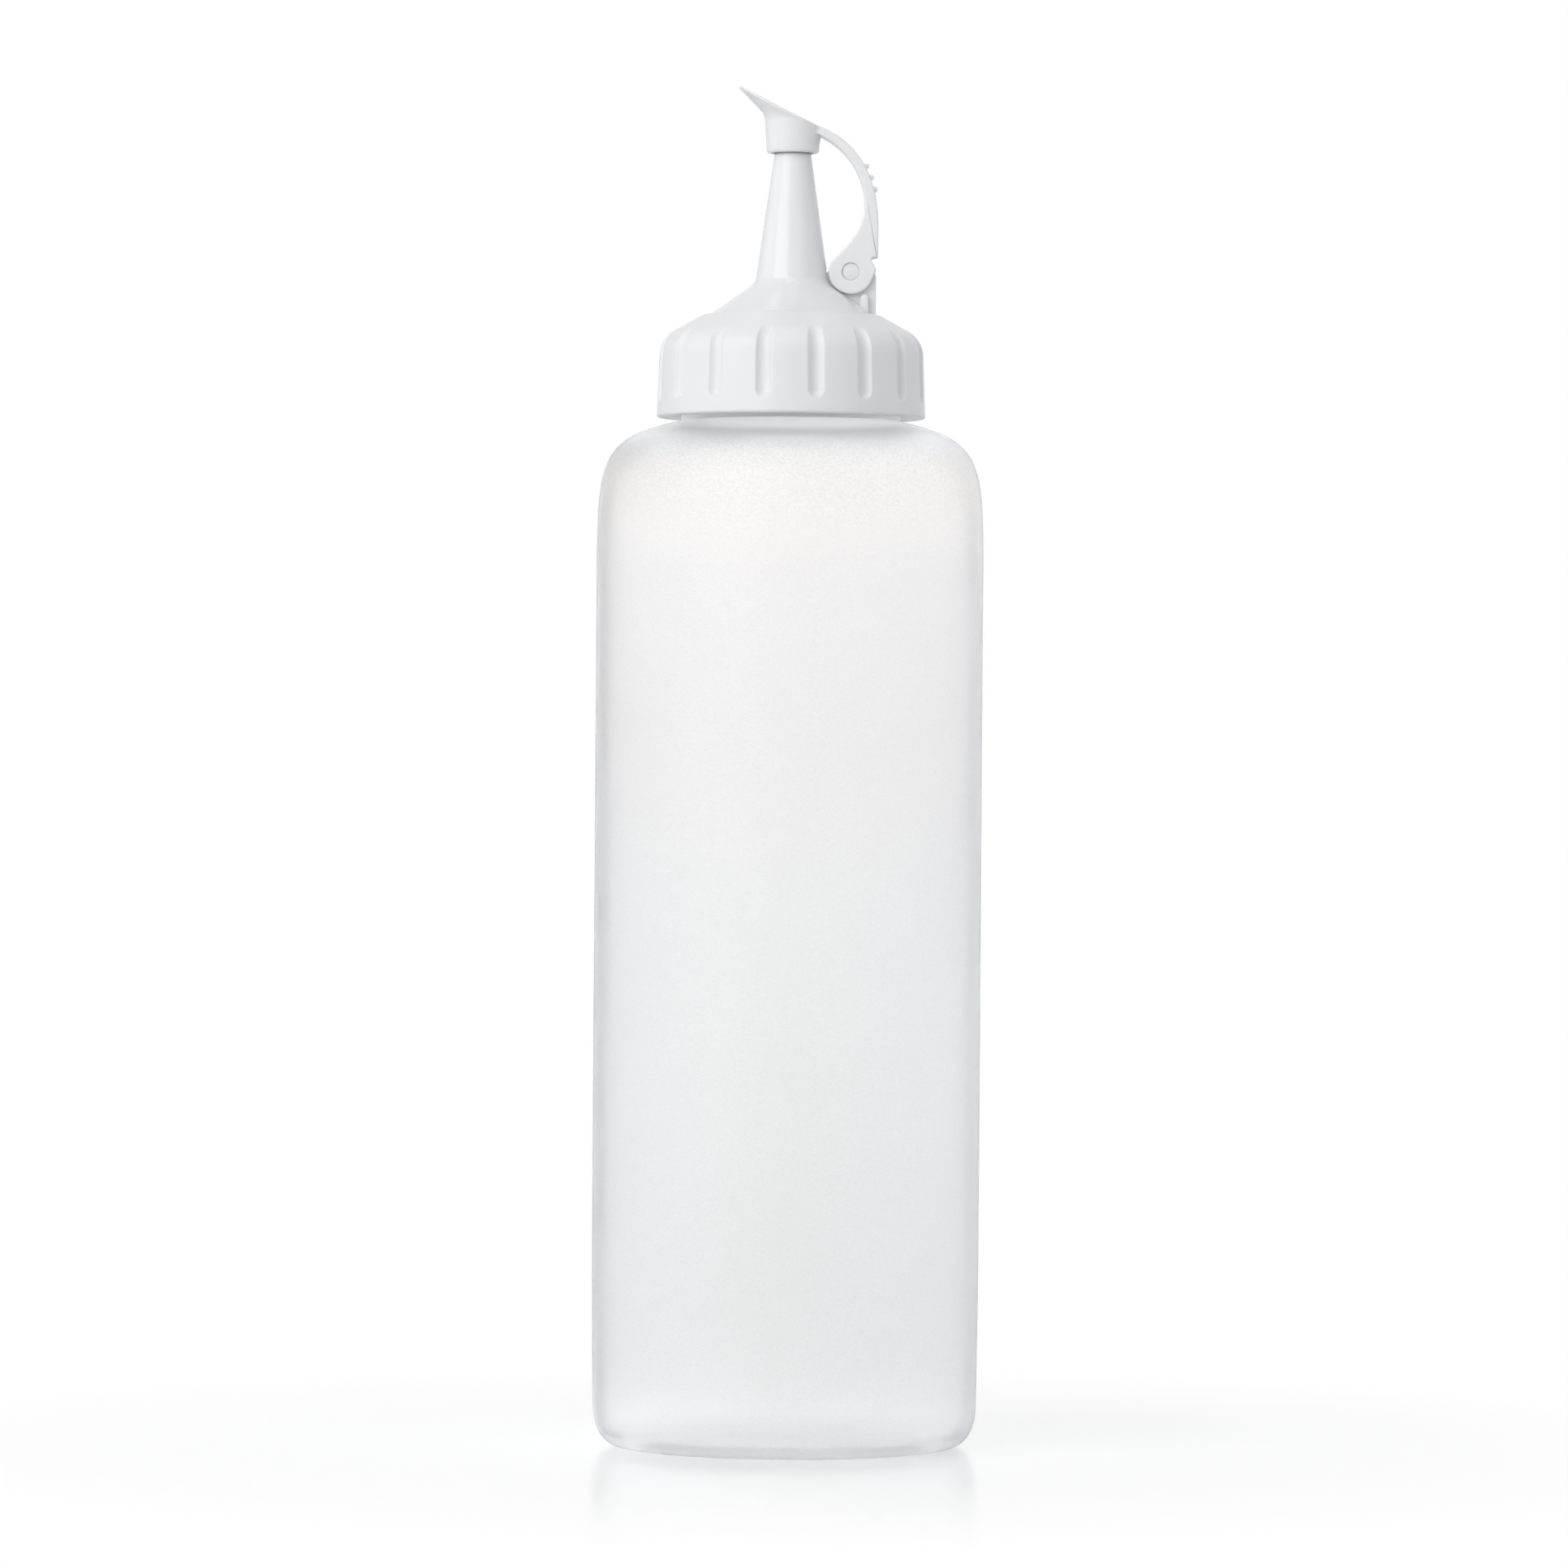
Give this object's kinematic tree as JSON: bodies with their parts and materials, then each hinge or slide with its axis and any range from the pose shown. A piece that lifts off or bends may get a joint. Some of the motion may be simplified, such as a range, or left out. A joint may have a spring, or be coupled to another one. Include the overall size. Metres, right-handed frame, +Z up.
{
  "type": "squeeze bottle with flip cap",
  "caption": "Round squeeze bottle for sauce with a screw collar, a tapered pouring nozzle and a hinged lever cap that closes the spout.",
  "frame": {"origin": "centre of the base's standing ring, on the bottle's axis, at the surface it stands on", "axes": "+Z up along the bottle's axis, +X from the spout towards the hinge post and the lever's back, which is the picture's right"},
  "size_m": [0.0632, 0.0632, 0.2224],
  "materials": {
    "frosted_ldpe": "frosted, slightly translucent white",
    "seal_silicone": "soft translucent white",
    "gloss_pp": "glossy white",
    "satin_pp": "satin white",
    "lever_pp": "semi-gloss white"
  },
  "bodies": {
    "bottle": {"bottle_body": "frosted_ldpe"},
    "nozzle": {"nozzle_spout": "gloss_pp", "neck_gasket": "seal_silicone"},
    "collar": {"screw_collar": "satin_pp"},
    "lever_cap": {"flip_cap": "lever_pp"}
  },
  "joints": [
    {"name": "cap_lift", "type": "slide", "parent": "bottle", "child": "nozzle", "axis": [0, 0, 1], "range_m": [0, 0.0127]},
    {"name": "collar_turn", "type": "hinge", "parent": "nozzle", "child": "collar", "pos_m": [0, 0, 0.1787], "axis": [0, 0, 1], "range_deg": [0, 1080]},
    {"name": "cap_flip", "type": "hinge", "parent": "nozzle", "child": "lever_cap", "pos_m": [0.00961, 0, 0.19207], "axis": [0, 1, 0], "range_deg": [0, 78]}
  ],
  "couplings": [
    {"joint": "cap_lift", "follows": "collar_turn", "m_per_rad": 0.0006737}
  ]
}
